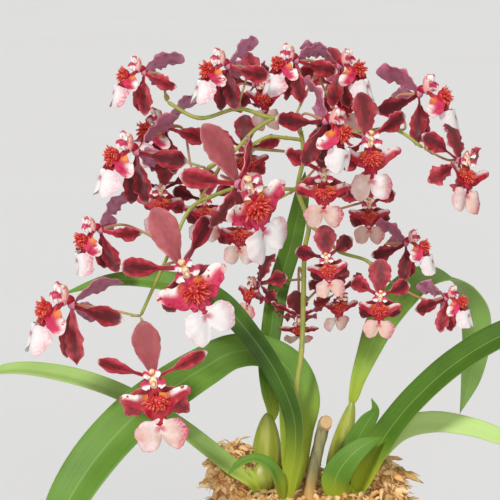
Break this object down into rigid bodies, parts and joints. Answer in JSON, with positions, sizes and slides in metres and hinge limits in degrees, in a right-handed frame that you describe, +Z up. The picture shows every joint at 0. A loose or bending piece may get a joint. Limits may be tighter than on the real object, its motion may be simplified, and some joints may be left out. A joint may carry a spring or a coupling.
{
  "type": "potted orchid",
  "caption": "Oncidium orchid in a plain round clay pot: strap leaves and pseudobulbs in moss, and a branched flower stem of small crimson and white blooms.",
  "frame": {"origin": "centre of the pot's flat base, on the surface that it stands on", "axes": "+Z up, -Y the front that most blooms face, +X to the right seen from the front"},
  "size_m": [0.179, 0.089, 0.2093],
  "materials": {
    "clay": "matte unglazed clay",
    "moss": "dry fibrous moss",
    "cane": "dry and rough",
    "leaf": "satin leaf skin",
    "stem": "satin stem skin",
    "tepal": "velvety petal",
    "lip": "soft satin petal"
  },
  "bodies": {
    "root": {"pot": "clay", "potting_moss": "moss", "cut_cane": "cane", "centre_growth": "leaf", "left_bulb_growth": "leaf", "right_bulb_growth": "leaf", "right_fan_growth": "leaf", "flower_stem": "stem", "bloom_01_tepals": "tepal", "bloom_01_lip": "lip", "bloom_02_tepals": "tepal", "bloom_02_lip": "lip", "bloom_03": "tepal", "bloom_04_tepals": "tepal", "bloom_04_lip": "lip", "bloom_05_tepals": "tepal", "bloom_05_lip": "lip", "bloom_06": "tepal", "bloom_07_tepals": "tepal", "bloom_07_lip": "lip", "bloom_08_tepals": "tepal", "bloom_08_lip": "lip", "bloom_09_tepals": "tepal", "bloom_09_lip": "lip", "bloom_10_tepals": "tepal", "bloom_10_lip": "lip", "bloom_11_tepals": "tepal", "bloom_11_lip": "lip", "bloom_12": "tepal", "bloom_13_tepals": "tepal", "bloom_13_lip": "lip", "bloom_14_tepals": "tepal", "bloom_14_lip": "lip", "bloom_15_tepals": "tepal", "bloom_15_lip": "lip", "bloom_16_tepals": "tepal", "bloom_16_lip": "lip", "bloom_17": "tepal", "bloom_18": "tepal", "bloom_19": "tepal", "bloom_20_tepals": "tepal", "bloom_20_lip": "lip", "bloom_21_tepals": "tepal", "bloom_21_lip": "lip", "bloom_22_tepals": "tepal", "bloom_22_lip": "lip", "bloom_23_tepals": "tepal", "bloom_23_lip": "lip", "bloom_24": "tepal", "bloom_25_tepals": "tepal", "bloom_25_lip": "lip", "bloom_26_tepals": "tepal", "bloom_26_lip": "lip", "bloom_27": "tepal", "bloom_28_tepals": "tepal", "bloom_28_lip": "lip", "bloom_29_tepals": "tepal", "bloom_29_lip": "lip", "bloom_30_tepals": "tepal", "bloom_30_lip": "lip"}
  },
  "joints": []
}
